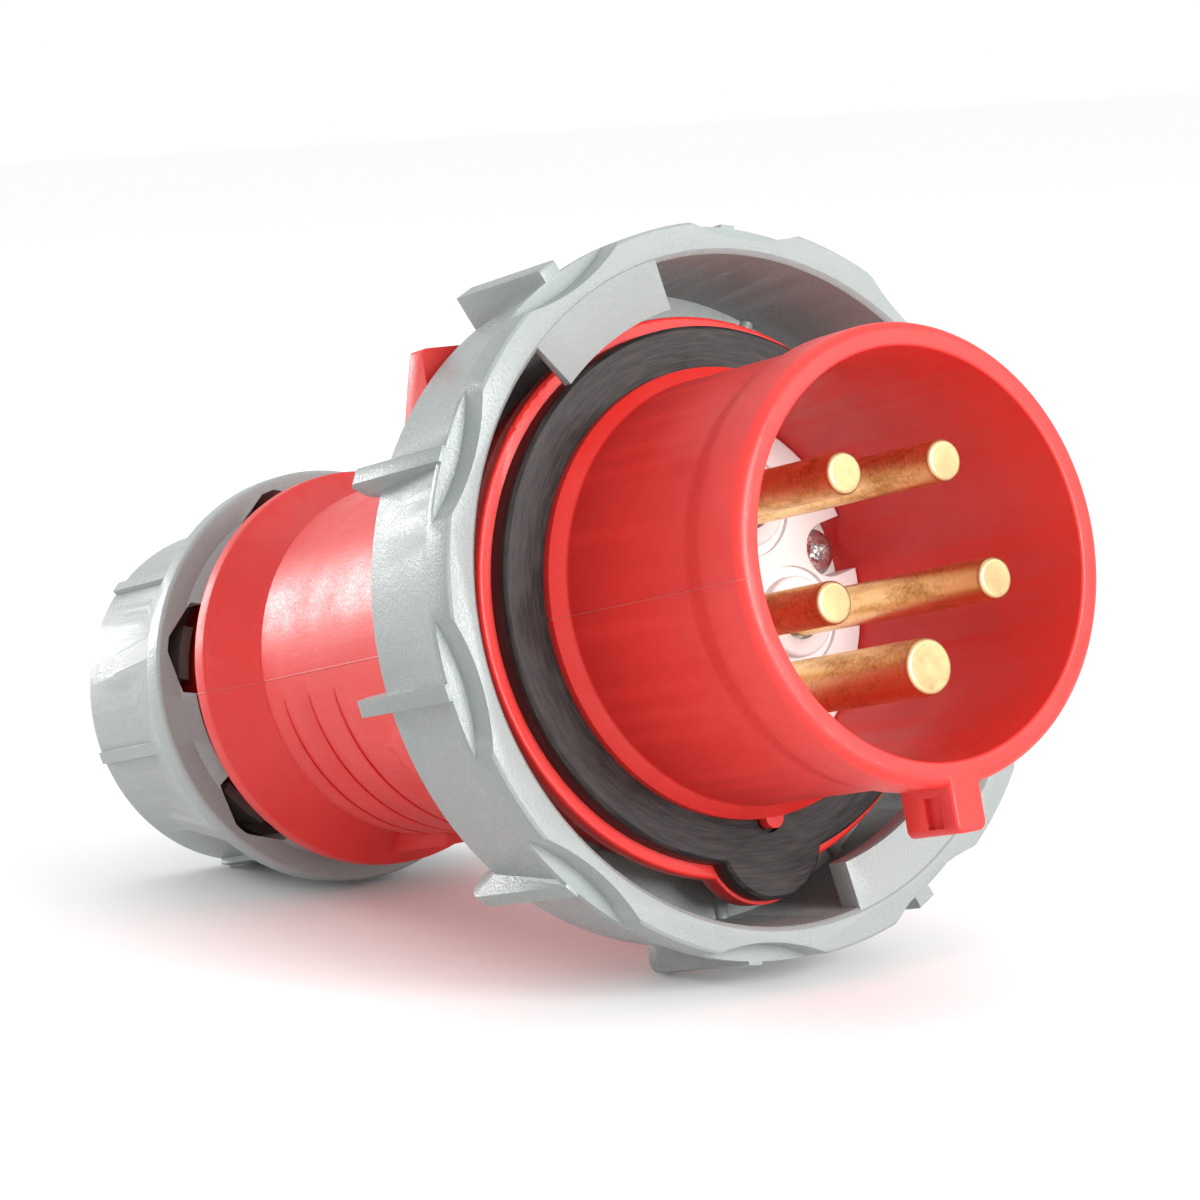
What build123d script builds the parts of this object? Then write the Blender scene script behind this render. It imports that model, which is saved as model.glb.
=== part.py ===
from build123d import *
import os
from math import asin, atan2, cos, degrees, hypot, radians, sin

# Industrial pin and sleeve plug, five-pole, with a bayonet coupling ring and a cable gland.
# Every piece is modelled about the plug's axis, which runs back along +Y from the mouth at Y = 0.
# "back" is a distance from the mouth. Angles are seen from the front, from +X towards +Z.
# Sizes are in millimetres. Capitals are sizes to set; what follows from them is in small letters.

# Clearances
TURN_GAP = 0.3          # between pieces that turn or slide past each other
FIT_GAP = 0.1           # between pieces that are fitted together for good
THREAD_GAP = 0.08       # between the gland nut and the neck that it runs on

# Contacts: five poles, earth at the bottom
PIN_CIRCLE_R = 15.3
PIN_R = 3.0
EARTH_PIN_R = 4.0
PIN_TIP = 3.0           # how far the pins stand back from the mouth
PIN_TIP_ROUND = 0.7
TERMINAL_EXTRA_R = 1.4
TERMINAL_LENGTH = 26.0
TERMINAL_SCREW_SET = 9.0
TERMINAL_SCREW_R = 2.0
TERMINAL_HEAD_R = 2.9
TERMINAL_HEAD_H = 2.0
WIRE_HOLE_DEPTH = 15.0
WIRE_HOLE_WALL = 2.3
PIN_ROOT_STEP = 0.4     # the pins are thinner where the insert holds them
POLE_ANGLES = {"pin_l1": 126.0, "pin_l2": 54.0, "pin_l3": -18.0, "pin_neutral": 198.0, "pin_earth": -90.0}

# Sleeve
BORE_MOUTH_R = 28.5
BORE_DRAFT = 0.6        # the bore narrows by this much to its floor
SLEEVE_WALL = 2.5
COLLAR_SWELL = 1.0      # rounded collar at the mouth
COLLAR_LENGTH = 8.6
COLLAR_FALL = 4.2
MOUTH_ROUND = 1.7
SLEEVE_LENGTH = 43.8    # mouth to the back of the base flange
BASE_FLANGE_RISE = 1.85
BASE_FLANGE_EDGE = 1.4
BASE_BEVEL = 1.9
KEY_REACH = 6.3
KEY_HALF_W = 2.65
KEY_LENGTH = 10.6
KEY_FRONT_FIN = 2.8
KEY_POCKET = 3.6
KEY_WEB_HALF_W = 1.5
NUB_R = 1.6
DISC_EDGE = 2.0         # how far the disc stands out past the gasket
DISC_THICK = 3.5
SPIGOT_SWELL = 2.1      # spigot over the bore's floor
SPIGOT_LENGTH = 15.0
SPIGOT_WALL = 2.6
COLLAR_LIP = 2.5        # holds the coupling ring's web on the hub, from the front

# Flange gasket
GASKET_W = 8.4
GASKET_THICK = 3.6
TONGUE_R = 9.2
TONGUE_DROP = 3.7       # tongue's centre, in from the gasket's edge

# Contact insert and its two screws, in notches at its edge
INSERT_SET = 4.2        # front face behind the base flange
INSERT_DEPTH = 8.0
LEDGE_W = 3.3
LEDGE_DEPTH = 3.4
BOSS_EXTRA_R = 3.0
BOSS_HEIGHT = 1.2
BOSS_MOAT = 1.6
MOAT_DEPTH = 0.8
PIN_HOLE_RELIEF = 0.45
INSERT_SCREW_SET = 4.6  # screw centres, in from the insert's edge
INSERT_SCREW_ANGLES = (11.0, 169.0)
NOTCH_R = 4.1
NOTCH_DEPTH = 5.2
HEAD_R = 3.6
HEAD_HEIGHT = 2.3
SHANK_R = 1.9
SCREW_LENGTH = 9.0
SCREW_BOSS_WALL = 2.3

# Terminal carrier and the screw that ties it to the insert
CARRIER_SHY = 3.2       # between the carrier and the spigot's bore
CARRIER_LENGTH = 28.0
TIE_SCREW_R = 2.0
TIE_HEAD_R = 3.6
TIE_HEAD_H = 2.4

# Coupling ring
RING_LEAD = 6.9         # front of the ring ahead of the base flange's back
RING_FLANGE = 5.6
RING_LENGTH = 25.4
RING_SPACE = 5.4        # between the disc and the ring's wall
RING_FLARE = 1.9
RING_RIM_W = 4.7
RING_MOUTH_BEVEL = 0.7
RIM_STEP = 0.7
BAND_TAPER = 2.7
WEB_THICK = 3.4
LUG_REACH = 6.9
LUG_THICK = 4.2
LUG_SET_BACK = 0.25
LUG_START = 100.0
LUG_SPAN = 30.0
LUG_LEAD_IN = 18.0
GRIP_COUNT = 10
GRIP_START = 8.5          # angle of the first scoop and rib
SCOOP_R = 32.0
SCOOP_DEPTH = 2.5
SCOOP_RIM = 1.3         # what each scoop leaves of the flange's thickness
GRIP_RIB_RISE = 0.5
GRIP_RIB_HALF_W = 1.2
GRIP_NOSE = 3.0
MARK_RIBS = (3, 8)      # the two tall, square-ended ribs
MARK_RIB_RISE = 1.9
MARK_RIB_HALF_W = 1.6
BEAD_COUNT = 12
BEAD_R = 1.1
RING_TURN = 45.0        # how far the ring turns to lock
STOP_RISE = 1.7
STOP_HALF_ANGLE = 3.0
STOP_SLACK = 0.8

# Rear housing
HUB_WALL = 5.9          # the hub that the ring turns on
SHOULDER_LIP = 3.6
SHOULDER_THICK = 7.0
SHOULDER_FALL = 10.4
BODY_SWELL = 0.5        # body's front over the spigot
BODY_TAPER = 2.2
BODY_LENGTH = 49.0
HOUSING_WALL = 3.0
GROOVE_DEPTH = 2.0
GROOVE_W = 10.0
REAR_FLANGE_RISE = 6.0
REAR_FLANGE_THICK = 4.8
WING_REACH = 2.7        # thumb wing, over the shoulder's top
WING_INSET = 8.4
WING_WIDTH = 13.0
WING_THICK = 3.2
WING_GUSSET = 9.0
GRIP_LINE_COUNT = 3
GRIP_LINE_SET = 5.6
GRIP_LINE_STEP = 8.0
GRIP_LINE_W = 0.9
GRIP_LINE_DEPTH = 0.6
GRIP_LINE_TOP = 3.5     # they end this far below the axis
BUTTON_SET = 13.0
BUTTON_ANGLE = 214.0
BUTTON_DOME_R = 13.0
BUTTON_HEIGHT = 1.1
KEEL_LENGTH = 7.0       # the short rib under the body's end
KEEL_HALF_W = 4.0
KEEL_RISE = 2.0

# Housing seal
SEAL_SET = 7.4
SEAL_GROOVE_DEPTH = 1.6
SEAL_GROOVE_W = 2.4

# Gland
CABLE_R = 10.5          # bore of the seal's core
CORE_WALL = 4.5
SEAL_WALL = 5.1
SEAL_DEPTH = 16.0
SEAL_STEP = 2.0
SEAL_STOP = 3.2
NECK_WALL = 4.3
NECK_SHY = 4.6          # neck's end ahead of the nut's end wall
WASHER_THICK = 2.0
washer_hole_rOOM = 2.0
CAGE_SET = 4.5          # finger tips behind the nut's face
CAGE_FINGER = 5.6
CAGE_BASE = 3.4
CAGE_THICK = 3.3
FINGER_THICK = 1.8
FINGER_HALF_W = 4.4
NUT_STANDOFF = 7.7      # nut's face behind the rear flange
NUT_LENGTH = 35.1
NUT_WALL = 4.1
NUT_END_WALL = 6.0
NUT_CAP_ROUND = 1.8
NUT_SIDES = 6
NUT_CORNER_ANGLE = 164.0
NUT_COLLAR_RISE = 0.5
NUT_COLLAR_THICK = 4.3
NUT_RIB_RISE = 1.0
NUT_RIB_HALF_W = 1.0
NUT_RIB_SHY = 2.2
LOBE_RISE = 5.2         # crest of each lobe at the collar, over the cap; it falls to the cap
LOBE_DIP = 1.7          # how much lower the lobes are between two crests
LOBE_HALF_W = 1.8
LOBE_LENGTH = 25.5
CROWN_SLOPE = 2.2
CROWN_RISE = 1.1
CROWN_SHY = 3.4
POCKET_WALL = 1.0
POCKET_DEPTH = 11.5
POCKET_MOUTH_HALF_W = 7.4
POCKET_TIP_HALF_W = 1.2
cable_hole_rOOM = 3.0
CABLE_MOUTH_FLARE = 3.5

# Radii that follow, from the sleeve's bore out to the coupling ring
bore_floor_r = BORE_MOUTH_R - BORE_DRAFT
waist_r = BORE_MOUTH_R + SLEEVE_WALL
mouth_r = waist_r + COLLAR_SWELL
base_flange_r = waist_r + BASE_FLANGE_RISE
key_bottom_r = mouth_r + KEY_REACH
gasket_neck_r = waist_r - 2 * FIT_GAP
gasket_r = gasket_neck_r + GASKET_W
tongue_centre = gasket_r - TONGUE_DROP
disc_r = gasket_r + DISC_EDGE
ledge_r = bore_floor_r - LEDGE_W
screw_circle_r = bore_floor_r - INSERT_SCREW_SET
screw_boss_r = SHANK_R + FIT_GAP + SCREW_BOSS_WALL
spigot_r = bore_floor_r + SPIGOT_SWELL
seal_groove_r = spigot_r - SEAL_GROOVE_DEPTH
carrier_r = spigot_r - SPIGOT_WALL - CARRIER_SHY
socket_r = spigot_r + FIT_GAP
hub_r = socket_r + HUB_WALL
collar_r = hub_r + COLLAR_LIP
shoulder_r = hub_r + SHOULDER_LIP
stop_r = hub_r + STOP_RISE
ring_floor_r = disc_r + RING_SPACE
ring_mouth_r = ring_floor_r + RING_FLARE
ring_r = ring_mouth_r + RING_RIM_W
band_front_r = ring_r - RIM_STEP
band_back_r = band_front_r - BAND_TAPER
lug_r = ring_mouth_r - LUG_REACH
scoop_floor_r = ring_r - SCOOP_DEPTH
grip_rib_r = ring_r + GRIP_RIB_RISE
mark_rib_r = ring_r + MARK_RIB_RISE
rib_root_r = band_back_r - 0.9
rib_nose_r = 0.48 * (grip_rib_r - rib_root_r)
body_front_r = socket_r + BODY_SWELL
body_back_r = body_front_r - BODY_TAPER
body_taper = BODY_TAPER / BODY_LENGTH
groove_r = body_back_r - GROOVE_DEPTH
rear_flange_r = groove_r + REAR_FLANGE_RISE
keel_r = groove_r + GROOVE_DEPTH + KEEL_RISE
wing_x = shoulder_r - WING_INSET
wing_z = shoulder_r + WING_REACH

# Radii of the gland, from the cable out to the nut
core_r = CABLE_R + CORE_WALL
seal_r = core_r + SEAL_WALL
neck_bore_r = seal_r + FIT_GAP
neck_lip_r = neck_bore_r - SEAL_STOP
neck_r = neck_bore_r + NECK_WALL
washer_r = neck_bore_r - 2 * FIT_GAP
washer_hole_r = CABLE_R + washer_hole_rOOM
cable_hole_r = CABLE_R + cable_hole_rOOM
cable_mouth_r = cable_hole_r + CABLE_MOUTH_FLARE
cage_r = neck_r + CAGE_THICK
nut_opening_r = cage_r + TURN_GAP + FIT_GAP
thread_r = neck_r + THREAD_GAP
cap_r = neck_r + NUT_WALL
lobe_r = cap_r + LOBE_RISE
crown_r = lobe_r - CROWN_SHY
nut_collar_r = lobe_r + NUT_COLLAR_RISE
nut_rib_r = cap_r + NUT_RIB_RISE

# Stations that follow, from the mouth back
gasket_back = SLEEVE_LENGTH + GASKET_THICK
disc_back = gasket_back + DISC_THICK
insert_front = SLEEVE_LENGTH + INSERT_SET
insert_end = insert_front + INSERT_DEPTH
pin_root = insert_front - BOSS_HEIGHT - 2 * FIT_GAP
ledge_end = insert_end + LEDGE_DEPTH
terminal_end = insert_end + TERMINAL_LENGTH
terminal_screw = terminal_end - TERMINAL_SCREW_SET
carrier_end = insert_end + CARRIER_LENGTH
ring_front = SLEEVE_LENGTH - RING_LEAD
flange_back = ring_front + RING_FLANGE
scoop_end = flange_back - SCOOP_RIM
ring_back = ring_front + RING_LENGTH
nose_back = ring_back + GRIP_NOSE
web_front = ring_back - WEB_THICK
boss_back = web_front - TURN_GAP
spigot_end = boss_back + SPIGOT_LENGTH
seal_back = boss_back + SEAL_SET
shoulder_front = ring_back + TURN_GAP
shoulder_back = shoulder_front + SHOULDER_THICK
body_start = shoulder_back + SHOULDER_FALL
body_end = body_start + BODY_LENGTH
rear_flange_front = body_end + GROOVE_W
rear_flange_back = rear_flange_front + REAR_FLANGE_THICK
nut_front = rear_flange_back + NUT_STANDOFF
nut_collar_end = nut_front + NUT_COLLAR_THICK
crown_front = nut_front - CROWN_RISE
nut_end = nut_front + NUT_LENGTH
nut_wall_front = nut_end - NUT_END_WALL
lobe_end = nut_front + LOBE_LENGTH
pocket_end = nut_front + POCKET_DEPTH
neck_end = nut_wall_front - NECK_SHY
seal_seat = neck_end - SEAL_DEPTH
cage_front = nut_front + CAGE_SET
cage_base_front = cage_front + CAGE_FINGER
cage_end = cage_base_front + CAGE_BASE
nut_thread_front = cage_end + 2 * TURN_GAP
washer_back = nut_wall_front - TURN_GAP
washer_front = washer_back - WASHER_THICK
seal_end = washer_front - TURN_GAP
grip_step = 360.0 / GRIP_COUNT
nut_step = 360.0 / NUT_SIDES


def at(shape, angle):
    """Turn a shape that was made at angle 0 round the plug's axis."""
    return Rot(0, -angle, 0) * shape


def around(shape, count, start=0.0):
    return [at(shape, start + i * 360.0 / count) for i in range(count)]


def outline(points, rounds=()):
    """A closed face of (x, y) points, with some of its corners rounded."""
    face = make_face(Polyline(*points, close=True))
    for point, size in rounds:
        face = fillet(face.vertices().sort_by_distance((*point, 0))[0], size)
    return face


def turned(points, rounds=()):
    """A full turn of a closed (radius, back) outline."""
    return revolve(outline(points, rounds), Axis.Y)


def tube(r_in, r_out, front, back):
    return turned([(r_in, front), (r_out, front), (r_out, back), (r_in, back)])


def sector(points, start, end):
    """A (radius, back) outline turned from one angle to another."""
    return at(revolve(outline(points), Axis.Y, end - start), end)


def rod(radius, front, back, x=0.0, z=0.0):
    return Pos(x, (front + back) / 2, z) * Rot(90, 0, 0) * Cylinder(radius, back - front)


def plate(sketch, front, back):
    """A sketch across the axis, drawn as seen from the front, given a thickness."""
    return extrude(Plane.XZ.offset(-back) * sketch, back - front)


def spoke(radius, r_in, r_out, back):
    """A round bar along the radius at angle 0."""
    return Pos((r_in + r_out) / 2, back, 0) * Rot(0, 90, 0) * Cylinder(radius, r_out - r_in)


def polar(radius, angle):
    return radius * cos(radians(angle)), radius * sin(radians(angle))


# The sleeve: one moulding with the key, base flange, disc and spigot
def make_sleeve():
    waist = COLLAR_LENGTH + COLLAR_FALL
    bevel_front = SLEEVE_LENGTH - BASE_FLANGE_EDGE - BASE_BEVEL
    spigot_in = spigot_r - SPIGOT_WALL
    corners = [
        (BORE_MOUTH_R, 0), (mouth_r, 0), (mouth_r, COLLAR_LENGTH), (waist_r, waist), (waist_r, bevel_front),
        (base_flange_r, SLEEVE_LENGTH - BASE_FLANGE_EDGE), (base_flange_r, SLEEVE_LENGTH),
        (gasket_neck_r, SLEEVE_LENGTH), (gasket_neck_r, gasket_back), (disc_r, gasket_back),
        (disc_r, disc_back), (collar_r, disc_back), (collar_r, boss_back), (spigot_r, boss_back),
        (spigot_r, spigot_end), (spigot_in, spigot_end), (spigot_in, ledge_end),
        (ledge_r, ledge_end), (ledge_r, insert_end), (bore_floor_r, insert_end),
        (bore_floor_r, insert_front - 2),
    ]
    rounds = [
        ((mouth_r, 0), MOUTH_ROUND), ((BORE_MOUTH_R, 0), 0.5), ((mouth_r, COLLAR_LENGTH), 7.0),
        ((waist_r, waist), 6.0), ((waist_r, bevel_front), 0.8), ((disc_r, gasket_back), 0.6),
        ((disc_r, disc_back), 1.2),
    ]
    body = turned(corners, rounds)
    key = plate(Rectangle(2 * KEY_HALF_W, key_bottom_r - waist_r + 1), 0, KEY_LENGTH)
    key = Pos(0, 0, -(key_bottom_r + waist_r - 1) / 2) * key
    low = key.edges().filter_by(Axis.Y).group_by(Axis.Z)[0]
    key = fillet(low, 1.3)
    key = fillet(key.faces().sort_by(Axis.Y)[0].edges().filter_by(Axis.X, reverse=True), 0.5)
    pocket_z = (key_bottom_r + mouth_r) / 2
    for side in (-1, 1):
        pocket = Box(4, KEY_POCKET, KEY_REACH - 2)
        key -= Pos(side * (KEY_WEB_HALF_W + 2), KEY_FRONT_FIN + KEY_POCKET / 2, -pocket_z) * pocket
    nub = rod(NUB_R, SLEEVE_LENGTH - BASE_FLANGE_EDGE, SLEEVE_LENGTH + 0.6, z=-base_flange_r)
    tongue = rod(TONGUE_R + 0.5, gasket_back, disc_back, z=-tongue_centre) - rod(waist_r, gasket_back, disc_back)
    body += [key, nub, tongue]
    for angle in INSERT_SCREW_ANGLES:
        x, z = polar(screw_circle_r, angle)
        body += rod(screw_boss_r, insert_end, ledge_end + 5, x, z)
        body -= rod(SHANK_R + FIT_GAP, insert_end - 1, ledge_end + 6, x, z)
    middle = seal_back
    groove = tube(seal_groove_r, spigot_r + 1, middle - SEAL_GROOVE_W / 2, middle + SEAL_GROOVE_W / 2)
    return body - groove


def make_gasket():
    inner = gasket_neck_r + FIT_GAP
    ring = turned([
        (inner, SLEEVE_LENGTH), (gasket_r - 0.5, SLEEVE_LENGTH), (gasket_r, SLEEVE_LENGTH + 0.5),
        (gasket_r, gasket_back), (inner, gasket_back)])
    tongue = rod(TONGUE_R, SLEEVE_LENGTH, gasket_back, z=-tongue_centre)
    tongue = chamfer(tongue.faces().sort_by(Axis.Y)[0].edges(), 0.5)
    gasket = ring + tongue - rod(inner, SLEEVE_LENGTH - 1, gasket_back + 1)
    return gasket - rod(NUB_R + 0.6, SLEEVE_LENGTH - 1, SLEEVE_LENGTH + 1.2, z=-base_flange_r)


# The coupling ring: scooped flange, grip ribs, two lugs and a web that turns on the hub
def make_coupling_ring():
    ring = turned([
        (ring_mouth_r + RING_MOUTH_BEVEL, ring_front), (ring_r - 0.4, ring_front), (ring_r, ring_front + 0.4),
        (ring_r, flange_back), (band_front_r, flange_back), (band_back_r, ring_back),
        (hub_r + TURN_GAP, ring_back), (hub_r + TURN_GAP, web_front), (ring_floor_r, web_front),
        (ring_mouth_r, ring_front + RING_MOUTH_BEVEL)], [((band_back_r, ring_back), 0.8)])
    scoop = rod(SCOOP_R, ring_front - 1, scoop_end, x=scoop_floor_r + SCOOP_R)
    ring -= around(scoop, GRIP_COUNT, GRIP_START)
    grip = outline([
        (rib_root_r, scoop_end), (grip_rib_r, scoop_end), (grip_rib_r, nose_back), (rib_root_r, nose_back)],
        [((grip_rib_r, nose_back), rib_nose_r), ((rib_root_r, nose_back), 0.6 * rib_nose_r)])
    mark = outline([(rib_root_r, scoop_end), (mark_rib_r, scoop_end), (mark_rib_r, ring_back), (rib_root_r, ring_back)],
                   [((mark_rib_r, scoop_end), 0.5)])
    for i in range(GRIP_COUNT):
        if i in MARK_RIBS:
            rib = extrude(mark, MARK_RIB_HALF_W, both=True)
        else:
            rib = extrude(grip, GRIP_RIB_HALF_W, both=True)
        ring += at(rib, i * grip_step + GRIP_START)
    front, back = ring_front + LUG_SET_BACK, ring_front + LUG_THICK
    lug_outline = [(lug_r, front), (ring_mouth_r + 0.6, front), (ring_mouth_r + 0.2, back), (lug_r, back)]
    for half_turn in (0, 180):
        start = LUG_START + half_turn
        lug = sector(lug_outline, start, start + LUG_SPAN)
        ramp = Pos(lug_r, back, 0) * Rot(LUG_LEAD_IN, 0, 0) * Pos(0, LUG_THICK, 0)
        ramp *= Box(4 * LUG_REACH, 2 * LUG_THICK, lug_r)
        lug -= at(ramp, start + LUG_SPAN - 10)
        ring += lug
    bead = spoke(BEAD_R, collar_r + 2 * TURN_GAP, ring_floor_r + 0.8, web_front)
    ring += around(bead, BEAD_COUNT)
    low, high = -RING_TURN - STOP_HALF_ANGLE - STOP_SLACK, STOP_HALF_ANGLE + STOP_SLACK
    stop_way = [(hub_r, web_front - 2), (stop_r + TURN_GAP, web_front - 2),
                (stop_r + TURN_GAP, ring_back + 1), (hub_r, ring_back + 1)]
    for half_turn in (0, 180):
        ring -= sector(stop_way, low + half_turn, high + half_turn)
    return ring


# The rear housing: hub and shoulder for the ring, grip body, flange and neck
def make_rear_housing():
    outer = turned([
        (0, boss_back), (hub_r, boss_back), (hub_r, shoulder_front), (shoulder_r, shoulder_front),
        (shoulder_r, shoulder_back), (body_front_r, body_start), (body_back_r, body_end),
        (groove_r, body_end + 2.2), (groove_r, body_end + 4.6), (rear_flange_r - 1.5, rear_flange_front),
        (rear_flange_r, rear_flange_front + 1), (rear_flange_r, rear_flange_back),
        (neck_r, rear_flange_back), (neck_r, neck_end), (0, neck_end)], [
        ((shoulder_r, shoulder_back), 2.5), ((body_front_r, body_start), 8.0), ((body_back_r, body_end), 1.8),
        ((groove_r, body_end + 4.6), 3.5), ((rear_flange_r, rear_flange_front + 1), 0.8),
        ((rear_flange_r, rear_flange_back), 1.4), ((neck_r, neck_end), 0.8)])
    # shallow grip lines under the body: their floor is the body's own cone set higher, so they fade out
    for i in range(GRIP_LINE_COUNT):
        back = body_end - GRIP_LINE_SET - i * GRIP_LINE_STEP
        front = back - GRIP_LINE_W / 2
        radius = body_front_r - body_taper * (front - body_start)
        floor = turned([(0, front), (radius, front), (radius - body_taper * GRIP_LINE_W, front + GRIP_LINE_W),
                        (0, front + GRIP_LINE_W)])
        line = Pos(0, back, -GRIP_LINE_TOP - radius) * Box(3 * radius, GRIP_LINE_W, 2 * radius)
        outer -= line - Pos(0, 0, GRIP_LINE_DEPTH) * floor
    button_r = body_front_r - body_taper * BUTTON_SET + BUTTON_HEIGHT - BUTTON_DOME_R
    outer += at(Pos(button_r, body_start + BUTTON_SET, 0) * Sphere(BUTTON_DOME_R), BUTTON_ANGLE)
    keel_front, keel_back = body_end - KEEL_LENGTH, rear_flange_front + 1
    keel = Box(2 * KEEL_HALF_W, keel_back - keel_front, keel_r - groove_r + 1)
    keel = fillet(keel.edges().filter_by(Axis.Z), 1.0)
    outer += Pos(0, (keel_front + keel_back) / 2, -(keel_r + groove_r - 1) / 2) * keel
    # thumb wing behind the ring, with a gusset
    wing_front = nose_back + 2 * TURN_GAP
    wing_back = wing_front + WING_THICK
    outer += plate(outline([
        (-wing_x, wing_z), (-wing_x + WING_WIDTH, wing_z), (-wing_x + WING_WIDTH, 0.7 * shoulder_r),
        (-wing_x, 0.45 * shoulder_r)],
        [((-wing_x, wing_z), 1.0)]), wing_front, wing_back)
    outer += extrude(Plane.YZ.offset(-wing_x) * outline([
        (wing_front, wing_z - 0.5), (wing_back, wing_z - 0.5), (wing_back + WING_GUSSET, wing_z / 2),
        (wing_back, wing_z / 3), (wing_front, wing_z / 3)]), WING_THICK / 2)
    stop = [(hub_r - 1, boss_back), (stop_r, boss_back), (stop_r, shoulder_front), (hub_r - 1, shoulder_front)]
    for half_turn in (0, 180):
        outer += sector(stop, half_turn - STOP_HALF_ANGLE, half_turn + STOP_HALF_ANGLE)
    cavity_front = body_front_r - HOUSING_WALL
    cavity_back = groove_r - HOUSING_WALL
    return outer - turned([
        (0, boss_back - 1), (socket_r, boss_back - 1), (socket_r, spigot_end + 0.6),
        (cavity_front, spigot_end + 0.6), (cavity_front, body_start), (cavity_back, body_end),
        (cavity_back - 3, rear_flange_back), (neck_lip_r, seal_seat - SEAL_STEP), (neck_lip_r, seal_seat),
        (neck_bore_r, seal_seat), (neck_bore_r, neck_end + 1), (0, neck_end + 1)])


def make_housing_seal():
    section = (spigot_r - seal_groove_r) / 2
    return Pos(0, seal_back, 0) * Rot(90, 0, 0) * Torus(seal_groove_r + section, section - FIT_GAP / 4)


def pole_radius(name):
    return EARTH_PIN_R if name == "pin_earth" else PIN_R


def make_pin(name):
    radius = pole_radius(name)
    terminal = radius + TERMINAL_EXTRA_R
    pin = turned([
        (0, PIN_TIP), (radius, PIN_TIP), (radius, pin_root), (radius - PIN_ROOT_STEP, pin_root),
        (radius - PIN_ROOT_STEP, insert_end), (terminal, insert_end),
        (terminal, terminal_end), (0, terminal_end)], [((radius, PIN_TIP), PIN_TIP_ROUND)])
    pin -= rod(terminal - WIRE_HOLE_WALL, terminal_end - WIRE_HOLE_DEPTH, terminal_end + 1)
    pin -= spoke(TERMINAL_SCREW_R + FIT_GAP, 0, terminal + 1, terminal_screw)
    return at(Pos(PIN_CIRCLE_R, 0, 0) * pin, POLE_ANGLES[name])


def make_insert():
    radius = bore_floor_r - FIT_GAP
    insert = turned([
        (0, insert_front), (radius - 0.5, insert_front), (radius, insert_front + 0.5), (radius, insert_end),
        (0, insert_end)])
    for name, angle in POLE_ANGLES.items():
        x, z = polar(PIN_CIRCLE_R, angle)
        boss_r = pole_radius(name) + BOSS_EXTRA_R
        insert -= rod(boss_r + BOSS_MOAT, insert_front - 1, insert_front + MOAT_DEPTH, x, z)
    for name, angle in POLE_ANGLES.items():
        x, z = polar(PIN_CIRCLE_R, angle)
        boss_r = pole_radius(name) + BOSS_EXTRA_R
        boss = rod(boss_r, insert_front - BOSS_HEIGHT, insert_front + MOAT_DEPTH, x, z)
        insert += fillet(boss.faces().sort_by(Axis.Y)[0].edges(), 0.6)
    for name, angle in POLE_ANGLES.items():
        x, z = polar(PIN_CIRCLE_R, angle)
        hole = pole_radius(name) - PIN_ROOT_STEP + FIT_GAP / 2
        insert -= rod(hole, insert_front - 3, insert_end + 1, x, z)
        insert -= rod(pole_radius(name) + PIN_HOLE_RELIEF, insert_front - 3, insert_front + 1, x, z)
    floor = insert_front + NOTCH_DEPTH
    for angle in INSERT_SCREW_ANGLES:
        x, z = polar(screw_circle_r, angle)
        insert -= rod(NOTCH_R, insert_front - 1, floor, x, z)
        reach = radius + 1 - screw_circle_r
        mouth = Pos(screw_circle_r + reach / 2, (insert_front - 1 + floor) / 2, 0)
        insert -= at(mouth * Box(reach, floor - insert_front + 1, 2 * NOTCH_R), angle)
        insert -= rod(SHANK_R + FIT_GAP, floor - 1, insert_end + 1, x, z)
    return insert - rod(TIE_SCREW_R + FIT_GAP, insert_end - 5, insert_end + 1)


def make_insert_screws():
    floor = insert_front + NOTCH_DEPTH
    screw = turned([
        (0, floor - HEAD_HEIGHT), (HEAD_R, floor - HEAD_HEIGHT), (HEAD_R, floor), (SHANK_R, floor),
        (SHANK_R, floor + SCREW_LENGTH), (0, floor + SCREW_LENGTH)], [((HEAD_R, floor - HEAD_HEIGHT), 1.1)])
    slot_back = floor - HEAD_HEIGHT + 0.6
    for width, length in ((1.0, 2 * HEAD_R), (4.4, 1.0)):
        screw -= Pos(0, slot_back - 1, 0) * Box(width, 2, length)
    return [Pos(x, 0, z) * screw for x, z in (polar(screw_circle_r, a) for a in INSERT_SCREW_ANGLES)]


def make_carrier():
    carrier = turned([
        (0, insert_end), (carrier_r, insert_end), (carrier_r, carrier_end), (0, carrier_end)],
        [((carrier_r, carrier_end), 1.0)])
    for name, angle in POLE_ANGLES.items():
        x, z = polar(PIN_CIRCLE_R, angle)
        terminal = pole_radius(name) + TERMINAL_EXTRA_R + FIT_GAP
        carrier -= rod(terminal, insert_end - 1, carrier_end + 1, x, z)
        access = spoke(TERMINAL_HEAD_R + 3 * FIT_GAP, PIN_CIRCLE_R, carrier_r + 1, terminal_screw)
        carrier -= at(access, angle)
    for angle in INSERT_SCREW_ANGLES:
        x, z = polar(screw_circle_r, angle)
        carrier -= rod(screw_boss_r + 2 * FIT_GAP, insert_end - 1, ledge_end + 8, x, z)
    carrier -= rod(TIE_SCREW_R + FIT_GAP, insert_end - 1, carrier_end + 1)
    return carrier - rod(TIE_HEAD_R + FIT_GAP, carrier_end - 0.6 - TIE_HEAD_H, carrier_end + 1)


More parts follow.
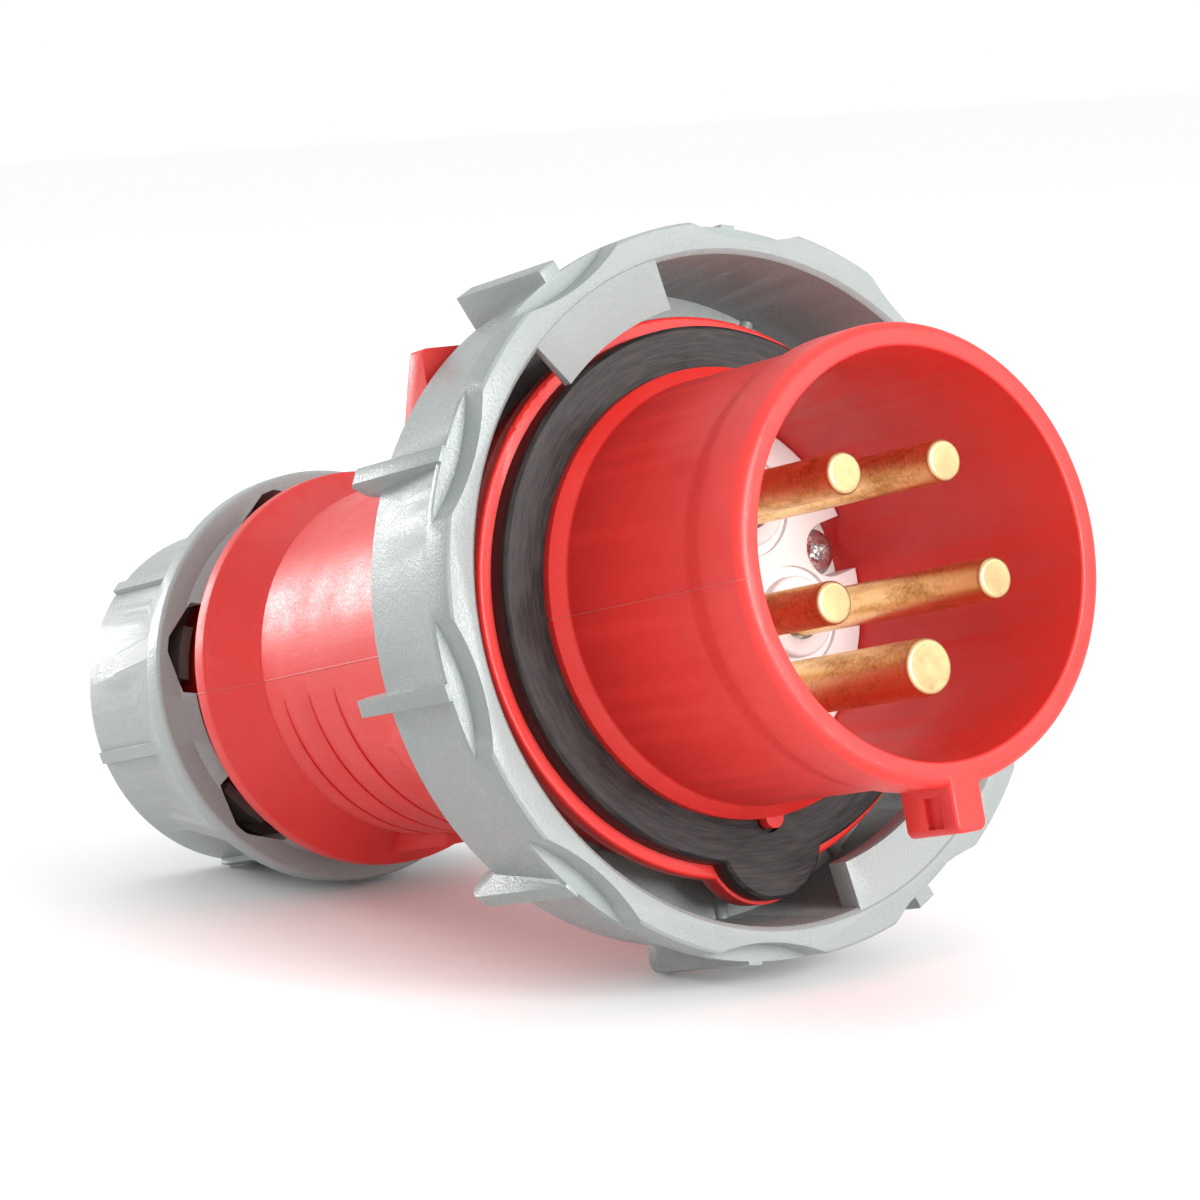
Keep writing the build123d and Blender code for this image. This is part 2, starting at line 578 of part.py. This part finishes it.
def make_terminal_screws():
    screws = []
    for name, angle in POLE_ANGLES.items():
        terminal = PIN_CIRCLE_R + pole_radius(name) + TERMINAL_EXTRA_R
        wire = pole_radius(name) + TERMINAL_EXTRA_R - WIRE_HOLE_WALL
        shank = spoke(TERMINAL_SCREW_R, PIN_CIRCLE_R + wire, terminal + 0.5, terminal_screw)
        head = spoke(TERMINAL_HEAD_R, terminal + 0.2, terminal + 0.2 + TERMINAL_HEAD_H, terminal_screw)
        slot = Pos(terminal + 0.2 + TERMINAL_HEAD_H, terminal_screw, 0) * Box(1.4, 2 * TERMINAL_HEAD_R, 0.9)
        screws.append(at(shank + head - slot, angle))
    return screws


def make_tie_screw():
    head_front = carrier_end - 0.6 - TIE_HEAD_H
    screw = rod(TIE_SCREW_R, insert_end - 4.5, head_front) + rod(TIE_HEAD_R, head_front, carrier_end - 0.6)
    return screw - Pos(0, carrier_end - 0.6, 0) * Box(1.0, 1.6, 2 * TIE_HEAD_R)


# The cable gland
def make_cage():
    inner = neck_r + FIT_GAP / 2
    cage = tube(inner, cage_r, cage_base_front, cage_end)
    finger = tube(cage_r - FINGER_THICK, cage_r, cage_front, cage_base_front + 1)
    keep = Pos(cage_r, (cage_front + cage_base_front) / 2, 0) * Box(10, CAGE_FINGER + 2, 2 * FINGER_HALF_W)
    return cage + [finger & k for k in around(keep, NUT_SIDES, NUT_CORNER_ANGLE)]


def lobes(back, crest, dip):
    """Outline of the nut's lobes at one station: a short flat crest at each corner, lower between."""
    half = degrees(LOBE_HALF_W / lobe_r)
    points = []
    for i in range(NUT_SIDES):
        corner = NUT_CORNER_ANGLE + i * nut_step
        points += [polar(crest, corner - half), polar(crest, corner + half), polar(dip, corner + nut_step / 2)]
    return Plane.XZ.offset(-back) * make_face(Polyline(*points, close=True))


def pocket(back, tip):
    """Outline of one pocket in the nut's face at one station, at angle 0."""
    mouth = tip - (lobe_r - crown_r)
    inner = cage_r - 1
    shape = make_face(Polyline(
        (inner, -POCKET_MOUTH_HALF_W), (mouth, -POCKET_MOUTH_HALF_W), (tip, -POCKET_TIP_HALF_W),
        (tip, POCKET_TIP_HALF_W), (mouth, POCKET_MOUTH_HALF_W), (inner, POCKET_MOUTH_HALF_W), close=True))
    return Plane.XZ.offset(-back) * shape


def make_nut():
    collar_end = nut_collar_end - 1.5
    fall = (lobe_r - cap_r) / (lobe_end - collar_end)
    nut = loft([lobes(collar_end, lobe_r, lobe_r - LOBE_DIP),
                lobes(lobe_end, cap_r, cap_r - LOBE_DIP)], ruled=True)
    nut += turned([
        (0, nut_collar_end - 1), (cap_r, nut_collar_end - 1), (cap_r, nut_end), (0, nut_end)],
        [((cap_r, nut_end), NUT_CAP_ROUND)])
    nut += turned([
        (0, crown_front), (crown_r - CROWN_SLOPE, crown_front), (crown_r, nut_front), (nut_collar_r, nut_front),
        (nut_collar_r, nut_collar_end), (0, nut_collar_end)],
        [((nut_collar_r, nut_front), 0.6), ((nut_collar_r, nut_collar_end), 1.0)])
    rib = Pos(nut_rib_r / 2 + 10, (nut_collar_end + nut_end - NUT_RIB_SHY) / 2, 0)
    rib = rib * Box(nut_rib_r - 20, nut_end - NUT_RIB_SHY - nut_collar_end, 2 * NUT_RIB_HALF_W)
    nut += around(rib, NUT_SIDES, NUT_CORNER_ANGLE + nut_step / 2)
    nut -= turned([
        (0, crown_front - 1), (nut_opening_r, crown_front - 1), (nut_opening_r, nut_thread_front),
        (thread_r, nut_thread_front + 1), (thread_r, nut_wall_front), (cable_hole_r, nut_wall_front),
        (cable_hole_r, nut_wall_front + 2),
        (cable_mouth_r, nut_end + 1), (0, nut_end + 1)])
    tip = lobe_r - POCKET_WALL
    cut = loft([pocket(crown_front - 1, tip), pocket(pocket_end, tip - fall * (pocket_end - collar_end))])
    nut -= around(cut, NUT_SIDES, NUT_CORNER_ANGLE)
    return nut


def make_washer():
    return turned([
        (washer_hole_r, washer_front), (washer_r, washer_front), (washer_r, washer_back),
        (washer_hole_r, washer_back)], [((washer_r, washer_front), 0.4), ((washer_r, washer_back), 0.4)])


def make_gland_seal():
    return turned([
        (core_r, seal_seat), (seal_r, seal_seat), (seal_r, neck_end), (seal_r - 0.9, seal_end),
        (core_r, seal_end)])


def make_seal_core():
    outer = core_r - FIT_GAP / 2
    return turned([
        (CABLE_R + 1.2, seal_seat), (outer, seal_seat), (outer, seal_end), (CABLE_R + 1.2, seal_end),
        (CABLE_R, seal_end - 2.5), (CABLE_R, seal_seat + 2.5)])


nodes = {
    "sleeve_shroud": [make_sleeve()],
    "flange_gasket": [make_gasket()],
    "coupling_ring": [make_coupling_ring()],
    "rear_housing": [make_rear_housing()],
    "housing_seal": [make_housing_seal()],
    "contact_insert": [make_insert()],
    "insert_screws": make_insert_screws(),
    "terminal_carrier": [make_carrier()],
    "carrier_tie_screw": [make_tie_screw()],
    "terminal_screws": make_terminal_screws(),
    "clamp_cage": [make_cage()],
    "gland_seal": [make_gland_seal()],
    "gland_seal_core": [make_seal_core()],
    "gland_washer": [make_washer()],
    "gland_nut": [make_nut()],
}
for name in POLE_ANGLES:
    nodes[name] = [make_pin(name)]

# How the plug lies at rest: tail down, on the nose of the rib nearest the bottom and the gland nut's rear
# edge. Both are rounded, so the tilt is that of the line that touches both roundings from below.
rib_angle = radians(round((270 - GRIP_START) / grip_step) * grip_step + GRIP_START - 270)
rib_low = (grip_rib_r - rib_nose_r) * cos(rib_angle) + GRIP_RIB_HALF_W * sin(abs(rib_angle))
drop = rib_low - (cap_r - NUT_CAP_ROUND)
run = nut_end - NUT_CAP_ROUND - (nose_back - rib_nose_r)
tilt = atan2(drop, run) + asin((rib_nose_r - NUT_CAP_ROUND) / hypot(drop, run))
axis_height = (nose_back - rib_nose_r) * sin(tilt) + rib_low * cos(tilt) + rib_nose_r

rest = Pos(0, 0, axis_height) * Rot(-degrees(tilt), 0, 0)
placed = {name: [rest * solid for solid in solids] for name, solids in nodes.items()}
bounds = Compound([solid for solids in placed.values() for solid in solids]).bounding_box()
centre = Pos(-(bounds.min.X + bounds.max.X) / 2, -(bounds.min.Y + bounds.max.Y) / 2, -bounds.min.Z)

os.makedirs("parts", exist_ok=True)
for name, solids in placed.items():
    loose = [s for solid in solids for s in (centre * solid).solids()]
    export_step(loose[0] if len(loose) == 1 else Compound(loose), f"parts/{name}.step")
print(f"tilt {degrees(tilt):.4f} deg, axis height at the mouth {axis_height:.4f} mm")
print(f"shift {centre.position.X:.5f} {centre.position.Y:.5f}, low {bounds.min.Z:.4f}, size {bounds.size}")
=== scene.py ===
from math import cos, pi, radians, sin

import bpy
from mathutils import Matrix, Vector


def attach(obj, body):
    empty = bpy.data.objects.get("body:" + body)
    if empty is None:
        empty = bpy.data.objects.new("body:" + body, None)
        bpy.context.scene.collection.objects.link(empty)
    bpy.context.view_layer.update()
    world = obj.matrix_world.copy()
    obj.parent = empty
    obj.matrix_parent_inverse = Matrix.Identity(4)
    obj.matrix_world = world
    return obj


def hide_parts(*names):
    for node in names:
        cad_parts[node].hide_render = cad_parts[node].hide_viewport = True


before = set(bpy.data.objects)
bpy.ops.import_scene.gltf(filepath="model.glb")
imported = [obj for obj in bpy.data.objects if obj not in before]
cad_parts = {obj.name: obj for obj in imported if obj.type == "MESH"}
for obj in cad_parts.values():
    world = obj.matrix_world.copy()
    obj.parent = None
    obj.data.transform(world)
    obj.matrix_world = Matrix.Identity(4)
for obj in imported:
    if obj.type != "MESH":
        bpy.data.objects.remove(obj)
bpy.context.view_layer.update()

# The plug lies tail down: its axis slopes by this much, and its mouth's centre is here, in metres.
SLOPE = radians(11.4196)
MOUTH = Vector((0.0, -0.0903769, 0.0646701))
MM = 0.001

# The CAD's sizes that the pieces and patterns made here have to meet, in millimetres.
PIN_TIP = 3.0                             # the pins' ends, back from the mouth
HEAD_R, HEAD_HEIGHT = 3.6, 2.3            # the heads of the insert's screws
HEAD_FRONT = 50.9                         # the heads' fronts, back from the mouth
SCREW_ACROSS, SCREW_UP = 22.872, 4.446    # the screws' centres, from the axis
SLEEVE_SEAM_END, SLEEVE_SEAM_R = 43.5, 29     # how far back the sleeve's seam runs, and its least radius
HOUSING_SEAM_START, HOUSING_SEAM_END, HOUSING_SEAM_R = 66, 152, 25


def place(x, back, z):
    """A point or direction of the plug, from its mouth: across, back along the axis and up, in millimetres."""
    return Vector((x, back * cos(SLOPE) + z * sin(SLOPE), -back * sin(SLOPE) + z * cos(SLOPE))) / 1000


BACKWARD = place(0, 1000, 0)
TO_WORLD = Matrix((
    (1, 0, 0, MOUTH.x), (0, cos(SLOPE), sin(SLOPE), MOUTH.y), (0, -sin(SLOPE), cos(SLOPE), MOUTH.z),
    (0, 0, 0, 1))) @ Matrix.Scale(MM, 4)

bpy.context.scene.view_settings.view_transform = "Standard"
bpy.ops.object.select_all(action="DESELECT")


# Materials
GRAIN_DEPTH = 0.0001


class Finish:
    """A material in the making: its shader, and the patterns on object coordinates that feed it."""

    def __init__(self, name, colour, roughness, metallic=0.0):
        self.material = bpy.data.materials.new(name)
        self.material.use_nodes = True
        self.nodes, self.links = self.material.node_tree.nodes, self.material.node_tree.links
        self.shader = self.nodes["Principled BSDF"]
        self.shader.inputs["Base Color"].default_value = (*colour, 1)
        self.shader.inputs["Roughness"].default_value = roughness
        self.shader.inputs["Metallic"].default_value = metallic
        self.where = self.nodes.new("ShaderNodeTexCoord").outputs["Object"]

    def feed(self, socket, value):
        self.links.new(value, self.shader.inputs[socket])

    def node(self, kind, linked, numbers):
        """A new node, with some of its sockets linked and others set to a number."""
        node = self.nodes.new(kind)
        for name, number in numbers.items():
            node.inputs[name].default_value = number
        for name, value in linked.items():
            self.links.new(value, node.inputs[name])
        return node

    def axes(self, stretch=(1, 1, 1)):
        """Object coordinates turned to the plug's own axes: across, back from the mouth and up."""
        turn = self.node("ShaderNodeMapping", {"Vector": self.where},
                         {"Location": MOUTH, "Rotation": (-SLOPE, 0, 0), "Scale": stretch})
        turn.vector_type = "TEXTURE"
        return turn.outputs["Vector"]

    def axis_parts(self):
        return self.node("ShaderNodeSeparateXYZ", {"Vector": self.axes()}, {}).outputs

    def cloud(self, scale, detail=4.0, roughness=0.5, where=None):
        numbers = {"Scale": scale, "Detail": detail, "Roughness": roughness}
        return self.node("ShaderNodeTexNoise", {"Vector": where or self.where}, numbers).outputs["Fac"]

    def between(self, value, low, high, to_low, to_high):
        numbers = {"From Min": low, "From Max": high, "To Min": to_low, "To Max": to_high}
        return self.node("ShaderNodeMapRange", {"Value": value}, numbers).outputs["Result"]

    def tint(self, value, low, high, first, second):
        ramp = self.node("ShaderNodeValToRGB", {"Fac": value}, {})
        for stop, position, colour in zip(ramp.color_ramp.elements, (low, high), (first, second)):
            stop.position, stop.color = position, (*colour, 1)
        return ramp.outputs["Color"]

    def math(self, operation, first, second):
        result = self.nodes.new("ShaderNodeMath")
        result.operation = operation
        for socket, value in zip(result.inputs, (first, second)):
            if isinstance(value, (int, float)):
                socket.default_value = value
            else:
                self.links.new(value, socket)
        return result.outputs["Value"]

    def blend(self, first, first_share, second, second_share):
        return self.math("ADD", self.math("MULTIPLY", first, first_share),
                         self.math("MULTIPLY", second, second_share))

    def grain(self, value, strength):
        bump = self.node("ShaderNodeBump", {"Height": value}, {"Strength": strength, "Distance": GRAIN_DEPTH})
        self.feed("Normal", bump.outputs["Normal"])

    def round_axis(self, across, round_it, along):
        """Distance from the plug's axis, angle round it and depth, each with its own scale."""
        x, back, z = self.axis_parts()
        squares = self.math("ADD", self.math("MULTIPLY", x, x), self.math("MULTIPLY", z, z))
        radius = self.math("SQRT", squares, 0.5)
        angle = self.math("ABSOLUTE", self.math("ARCTAN2", z, x), 0)
        result = self.nodes.new("ShaderNodeCombineXYZ")
        for socket, value, scale in zip(result.inputs, (radius, angle, back), (across, round_it, along)):
            self.links.new(self.math("MULTIPLY", value, scale), socket)
        return result.outputs["Vector"]


def moulded_plastic(name, colour, shade, roughness, sparkle, grain):
    """Spark-eroded plastic: a faint cloud in its colour, fine grain, and grains that glint."""
    finish = Finish(name, colour, roughness)
    finish.feed("Base Color", finish.tint(finish.cloud(55), 0.35, 0.65, shade, colour))
    grains = finish.cloud(3600, 2, 0.6)
    worn = finish.between(finish.cloud(140, 5), 0.35, 0.65, -0.05, 0.05)
    glint = finish.between(grains, 0.40, 0.62, roughness + sparkle, roughness - sparkle)
    finish.feed("Roughness", finish.math("ADD", glint, worn))
    finish.grain(finish.math("ADD", grains, finish.cloud(1500, 3)), grain)
    return finish.material


def moulded_rubber(name, colour, dust):
    """Rubber with the pale streaks of its mould, drawn out round the plug."""
    finish = Finish(name, colour, 0.5)
    finish.shader.inputs["Specular IOR Level"].default_value = 0.3
    streaks = finish.cloud(900, 5, 0.6, finish.round_axis(2.6, 0.008, 1.5))
    marks = finish.blend(streaks, 0.85, finish.cloud(160, 6, 0.6), 0.15)
    finish.feed("Base Color", finish.tint(marks, 0.42, 0.68, colour, dust))
    finish.feed("Roughness", finish.between(marks, 0.3, 0.7, 0.40, 0.58))
    finish.grain(finish.cloud(1800, 4), 0.3)
    return finish.material


def worn_brass(name):
    """Tumbled brass: dark pits all over, brown tarnish in soft clouds, and the pins' faced ends paler."""
    finish = Finish(name, (0.86, 0.60, 0.28), 0.3, 1.0)
    pits = finish.cloud(1500, 6, 0.7)
    marks = finish.blend(pits, 0.4, finish.cloud(230, 6, 0.6, finish.axes((1, 2.5, 1))), 0.6)
    depth = finish.axis_parts()["Y"]
    faced = finish.nodes.new("ShaderNodeMix")
    faced.data_type = "RGBA"
    behind_end = finish.between(depth, (PIN_TIP + 0.1) * MM, (PIN_TIP + 1.0) * MM, 0, 1)
    finish.links.new(behind_end, faced.inputs["Factor"])
    # The mix node's colours share their names with its numbers, so they go by place: 6, 7 and out at 2.
    faced.inputs[6].default_value = (0.58, 0.41, 0.21, 1)
    finish.links.new(finish.tint(marks, 0.36, 0.52, (0.50, 0.28, 0.075), (0.89, 0.66, 0.32)), faced.inputs[7])
    finish.feed("Base Color", faced.outputs[2])
    finish.feed("Roughness", finish.between(marks, 0.35, 0.6, 0.46, 0.28))
    finish.grain(pits, 0.2)
    return finish.material


def plated_steel(name):
    """Bright plated steel with fine scuffs."""
    finish = Finish(name, (0.70, 0.70, 0.69), 0.26, 1.0)
    scuff = finish.cloud(900, 6, 0.6)
    finish.feed("Base Color", finish.tint(scuff, 0.35, 0.7, (0.52, 0.52, 0.52), (0.78, 0.78, 0.77)))
    finish.feed("Roughness", finish.between(scuff, 0.3, 0.7, 0.18, 0.36))
    return finish.material


# Colour, its shade, roughness, how much the grains' roughness differs, and the grain's strength.
red_plastic = moulded_plastic("RedShell", (0.63, 0.021, 0.016), (0.59, 0.019, 0.015), 0.43, 0.06, 0.22)
grey_plastic = moulded_plastic("GreyRing", (0.220, 0.245, 0.240), (0.211, 0.235, 0.230), 0.36, 0.10, 0.5)
# The nut's grey is painted lighter than the ring's, to make up for the light that falls on it less.
nut_plastic_painted_lighter = moulded_plastic("GreyNutPaintedLighter", (0.31, 0.335, 0.33), (0.30, 0.325, 0.32), 0.36, 0.10, 0.5)
dark_plastic = moulded_plastic("DarkCage", (0.13, 0.125, 0.12), (0.11, 0.105, 0.10), 0.45, 0.05, 0.2)
white_plastic = moulded_plastic("WhiteInsert", (0.71, 0.69, 0.675), (0.68, 0.66, 0.645), 0.36, 0.04, 0.12)
# The seams' paler red is a painted highlight along the raised lines.
red_seam_painted_highlight = moulded_plastic("RedSeamPaintedHighlight", (0.60, 0.060, 0.050), (0.54, 0.05, 0.04), 0.45, 0.04, 0.1)
black_rubber = moulded_rubber("BlackRubber", (0.013, 0.011, 0.011), (0.043, 0.035, 0.033))
grey_rubber = moulded_rubber("GreyRubber", (0.10, 0.10, 0.10), (0.15, 0.15, 0.15))
brass = worn_brass("ContactBrass")
steel = plated_steel("ScrewSteel")


# Pieces
def dressed(mesh, finish):
    mesh.materials.clear()
    mesh.materials.append(finish)


def select_only(piece):
    bpy.ops.object.select_all(action="DESELECT")
    bpy.context.view_layer.objects.active = piece
    piece.select_set(True)


def modified(piece, kind, **settings):
    """Adds a modifier to the selected piece and applies it."""
    modifier = piece.modifiers.new(kind, kind)
    for name, value in settings.items():
        setattr(modifier, name, value)
    bpy.ops.object.modifier_apply(modifier=modifier.name)


def node_copy(name, node):
    """A copy of one of the CAD's nodes, in edit mode, with its doubled corners merged."""
    piece = bpy.data.objects.new(name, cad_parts[node].data.copy())
    bpy.context.scene.collection.objects.link(piece)
    select_only(piece)
    bpy.ops.object.mode_set(mode="EDIT")
    bpy.ops.mesh.select_all(action="SELECT")
    bpy.ops.mesh.remove_doubles(threshold=1e-6)
    return piece


def pick_faces(piece, wanted):
    """Selects, in edit mode, the faces that pass a test of their centre and normal."""
    bpy.ops.mesh.select_mode(type="FACE")
    bpy.ops.mesh.select_all(action="DESELECT")
    bpy.ops.object.mode_set(mode="OBJECT")
    for face in piece.data.polygons:
        face.select = bool(wanted(face.center, face.normal))
    bpy.ops.object.mode_set(mode="EDIT")


def edge_softened(name, node, body, finish, width, crease=32):
    """The moulding as it leaves its mould: the node's shape with every sharp edge eased."""
    piece = node_copy(name, node)
    bpy.ops.mesh.dissolve_limited(angle_limit=radians(1.0))
    bpy.ops.object.mode_set(mode="OBJECT")
    modified(piece, "BEVEL", limit_method="ANGLE", angle_limit=radians(32), width=width * MM, segments=2)
    bpy.ops.object.shade_smooth_by_angle(angle=radians(crease))
    dressed(piece.data, finish)
    piece.select_set(False)
    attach(piece, body)
    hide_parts(node)


for node in ("pin_l1", "pin_l2", "pin_l3", "pin_neutral", "pin_earth"):
    dressed(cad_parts[node].data, brass)
for node in ("carrier_tie_screw", "terminal_screws"):
    dressed(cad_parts[node].data, steel)
dressed(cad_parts["gland_washer"].data, dark_plastic)
dressed(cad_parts["terminal_carrier"].data, white_plastic)

# The last number is the width of the eased edge, in millimetres.
edge_softened("SleeveMoulding", "sleeve_shroud", "plug_body", red_plastic, 0.2)
edge_softened("HousingMoulding", "rear_housing", "plug_body", red_plastic, 0.25)
edge_softened("RingMoulding", "coupling_ring", "ring", grey_plastic, 0.25)
# The nut takes the grey painted lighter than the ring's, standing in for light it lacks.
edge_softened("NutMoulding", "gland_nut", "nut", nut_plastic_painted_lighter, 0.25, crease=11)
edge_softened("CageMoulding", "clamp_cage", "plug_body", dark_plastic, 0.25)
edge_softened("InsertMoulding", "contact_insert", "plug_body", white_plastic, 0.15)
edge_softened("FaceGasket", "flange_gasket", "plug_body", black_rubber, 0.15)
edge_softened("HousingSealRing", "housing_seal", "plug_body", black_rubber, 0.1)
edge_softened("GlandSealSleeve", "gland_seal", "plug_body", black_rubber, 0.4)
edge_softened("GlandSealCore", "gland_seal_core", "plug_body", grey_rubber, 0.4)

# The insert's screws, in millimetres, made upright round the origin.
HEAD_ROUND = 1.1
SHANK_INSET = 1.7
THREAD_TURNS, THREAD_STEP, THREAD_ROOT = 9, 0.45, 0.87
RECESS_BARS = (   # width, length, depth, angle, and how much shorter the bar is at its bottom
    (1.0, 9.0, 0.55, 0, 1), (1.1, 4.6, 1.5, 0, 0.35), (1.1, 4.6, 1.5, pi / 2, 0.35),
    (0.7, 3.2, 0.6, pi / 4, 0.6), (0.7, 3.2, 0.6, 3 * pi / 4, 0.6))


def recess_bar(width, length, depth, turn, taper):
    """One bar of a screw's recess, narrower at its bottom."""
    bpy.ops.mesh.primitive_cube_add(size=1)
    bar = bpy.context.object
    bar.scale = (length, width, 2 * depth)
    bpy.ops.object.transform_apply(location=False, rotation=False, scale=True)
    for corner in bar.data.vertices:
        if corner.co.z < 0:
            corner.co.x, corner.co.y = corner.co.x * taper, corner.co.y * 0.7
    bar.location, bar.rotation_euler = (0, 0, HEAD_HEIGHT / 2), (0, 0, turn)
    return bar


def insert_screw(name, x, turn):
    """Pan-head screw and a cross in one recess, and its threaded shank."""
    bpy.ops.object.select_all(action="DESELECT")
    bpy.ops.mesh.primitive_cylinder_add(vertices=48, radius=HEAD_R, depth=HEAD_HEIGHT)
    screw = bpy.context.object
    screw.name = name
    bpy.ops.object.mode_set(mode="EDIT")
    pick_faces(screw, lambda centre, normal: normal.z > 0.9)
    bpy.ops.mesh.bevel(offset=HEAD_ROUND, segments=5, profile=0.5)
    pick_faces(screw, lambda centre, normal: normal.z < -0.9)
    bpy.ops.mesh.inset(thickness=SHANK_INSET)
    down = {"value": (0, 0, -THREAD_STEP)}
    for end in range(THREAD_TURNS):
        bpy.ops.mesh.extrude_region_move(TRANSFORM_OT_translate=down)
        wider = THREAD_ROOT if end % 2 else 1 / THREAD_ROOT
        bpy.ops.transform.resize(value=(wider, wider, 1), center_override=(0, 0, 0))
        bpy.ops.mesh.extrude_region_move(TRANSFORM_OT_translate=down)
    bpy.ops.object.mode_set(mode="OBJECT")
    for width, length, depth, angle, taper in RECESS_BARS:
        bar = recess_bar(width, length, depth, angle + turn, taper)
        select_only(screw)
        modified(screw, "BOOLEAN", operation="DIFFERENCE", object=bar, solver="EXACT")
        bpy.data.objects.remove(bar)
    modified(screw, "BEVEL", limit_method="ANGLE", angle_limit=radians(40), width=0.06, segments=2)
    screw.rotation_euler = (pi / 2, 0, 0)
    screw.location = (x, HEAD_FRONT + HEAD_HEIGHT / 2, SCREW_UP)
    select_only(screw)
    bpy.ops.object.transform_apply(location=True, rotation=True, scale=True)
    screw.matrix_world = TO_WORLD
    bpy.ops.object.transform_apply(location=True, rotation=True, scale=True)
    dressed(screw.data, steel)
    bpy.ops.object.shade_smooth_by_angle(angle=radians(40))
    screw.select_set(False)
    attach(screw, "plug_body")
    return screw


screws = [insert_screw("InsertScrewRight", SCREW_ACROSS, 0.35),
          insert_screw("InsertScrewLeft", -SCREW_ACROSS, 0.9)]
for screw in screws:
    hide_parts("insert_screws")

# The mould's seams, in millimetres.
SEAM_WIDTH, SEAM_PROUD, SEAM_DEPTH = 0.22, 0.10, 0.25


def back_of(point):
    """How far behind the mouth a point lies, in millimetres."""
    return (point - MOUTH).dot(BACKWARD) / MM


def radius_of(point):
    """How far from the plug's axis a point lies, in millimetres."""
    across = (point - MOUTH) - (point - MOUTH).dot(BACKWARD) * BACKWARD
    return across.length / MM


def mould_seam(name, node, side, test):
    """The fine raised line where the mould's halves met: a slice of the moulding's own outline, set proud, in a
    paler red that is a painted highlight.
    """
    seam = node_copy(name, node)
    for way in (1, -1):
        bpy.ops.mesh.select_all(action="SELECT")
        bpy.ops.mesh.bisect(plane_co=MOUTH + place(0, 0, way * SEAM_WIDTH / 2), plane_no=place(0, 0, 1000 * way),
                            clear_outer=True)
    outward = Vector((side, 0, 0))
    pick_faces(seam, lambda centre, normal: not (normal.dot(outward) > 0.2 and test(centre)))
    bpy.ops.mesh.delete(type="FACE")
    bpy.ops.mesh.select_all(action="SELECT")
    bpy.ops.transform.translate(value=outward * SEAM_PROUD * MM)
    bpy.ops.object.mode_set(mode="OBJECT")
    modified(seam, "SOLIDIFY", thickness=SEAM_DEPTH * MM, offset=-1)
    # The seam's paler red is a painted highlight.
    dressed(seam.data, red_seam_painted_highlight)
    seam.select_set(False)
    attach(seam, "plug_body")


for label, side in (("Left", -1), ("Right", 1)):
    mould_seam("SleeveSeam" + label, "sleeve_shroud", side,
               lambda point: back_of(point) < SLEEVE_SEAM_END and radius_of(point) > SLEEVE_SEAM_R)
    mould_seam("HousingSeam" + label, "rear_housing", side,
               lambda point: (HOUSING_SEAM_START < back_of(point) < HOUSING_SEAM_END
                              and radius_of(point) > HOUSING_SEAM_R))


# Floor, light and camera
def soft_light(name, target, where, size, power):
    light = bpy.data.lights.new(name, "AREA")
    light.shape, light.size, light.energy = "DISK", size, power
    lamp = bpy.data.objects.new(name, light)
    lamp.location = where
    lamp.rotation_euler = (Vector(target) - Vector(where)).to_track_quat("-Z", "Y").to_euler()
    bpy.context.scene.collection.objects.link(lamp)


bpy.ops.mesh.primitive_plane_add(size=16)
floor = bpy.context.object
floor.name = "Floor"
paint = Finish("FloorPaint", (0.9, 0.9, 0.9), 0.7)
reach = paint.nodes.new("ShaderNodeVectorMath")
reach.operation = "LENGTH"
paint.links.new(paint.where, reach.inputs[0])
# A little darker round the plug, so that the floor doesn't burn out under the lights.
paint.feed("Base Color", paint.tint(reach.outputs["Value"], 0.25, 0.9, (0.84, 0.84, 0.84), (0.97, 0.97, 0.97)))
floor.data.materials.append(paint.material)

# Target, place, size in metres and power in watts.
soft_light("FrontLight", (0, -0.05, 0.05), (0.1, -1.7, 0.55), 0.8, 42)
soft_light("CameraSideLight", (0, -0.05, 0.05), (-1.1, -1.5, 0.8), 0.8, 3)
soft_light("TailLight", (0, 0, 0.05), (-0.48, 1.6, 0.38), 0.5, 13)
soft_light("RightLight", (0, 0, 0.05), (1.3, -1.1, 0.8), 0.8, 4)
soft_light("TopLight", (0, 0, 0), (0.1, 0.1, 1.8), 1.4, 4)

world = bpy.context.scene.world or bpy.data.worlds.new("World")
bpy.context.scene.world = world
world.use_nodes = True
world.node_tree.nodes["Background"].inputs["Color"].default_value = (1, 1, 1, 1)
world.node_tree.nodes["Background"].inputs["Strength"].default_value = 1.0

# The photograph's camera: its right, its up and its line of sight in the plug's axes, and where it stands.
across, up, ahead = place(799.3, -577.1, -167.4), place(117.1, -123.7, 985.4), place(589.4, 807.2, 31.3)
camera = bpy.data.cameras.new("PhotoCamera")
camera.lens, camera.sensor_width = 120.0, 36.0
viewer = bpy.data.objects.new("PhotoCamera", camera)
turn = Matrix((across, up, -ahead)).transposed()
viewer.matrix_world = Matrix.Translation(MOUTH + place(-355.52, -411.29, -15.92)) @ turn.to_4x4()
bpy.context.scene.collection.objects.link(viewer)
bpy.context.scene.camera = viewer
